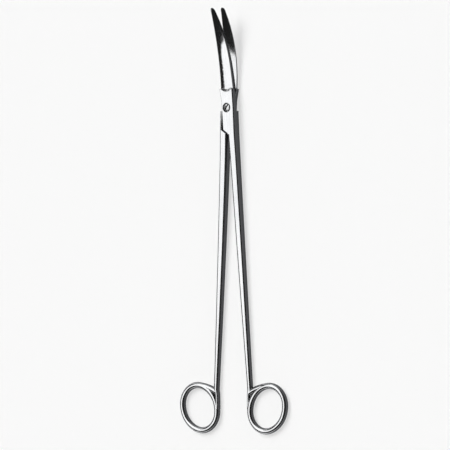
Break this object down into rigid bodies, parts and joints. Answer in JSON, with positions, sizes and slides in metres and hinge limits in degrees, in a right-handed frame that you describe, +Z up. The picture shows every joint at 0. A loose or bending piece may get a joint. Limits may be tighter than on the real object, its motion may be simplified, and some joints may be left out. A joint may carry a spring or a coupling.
{
  "type": "dissecting scissors",
  "caption": "Long slim scissors with curved blunt blades on a slotted pivot screw, a lap joint and an open finger ring at the end of each shank.",
  "frame": {"origin": "on the pivot axis, in the plane that the closed or open scissors lie on: the middle of the screw's ground end", "axes": "+Y along the scissors from the pivot towards the tips, +Z up along the pivot axis towards the screw head, the way the blades curve, +X across towards the front half's finger ring"},
  "size_m": [0.0892, 0.28, 0.0164],
  "materials": {
    "instrument_steel": "polished stainless steel with fine lengthwise polishing lines",
    "screw_steel": "turned stainless steel with fine concentric lines"
  },
  "bodies": {
    "rear": {"rear_half": "instrument_steel", "pivot_screw": "screw_steel"},
    "front": {"front_half": "instrument_steel"}
  },
  "joints": [
    {"name": "pivot", "type": "hinge", "parent": "rear", "child": "front", "pos_m": [0, 0, 0], "axis": [0, 0, 1], "range_deg": [-4.8, 55]}
  ]
}
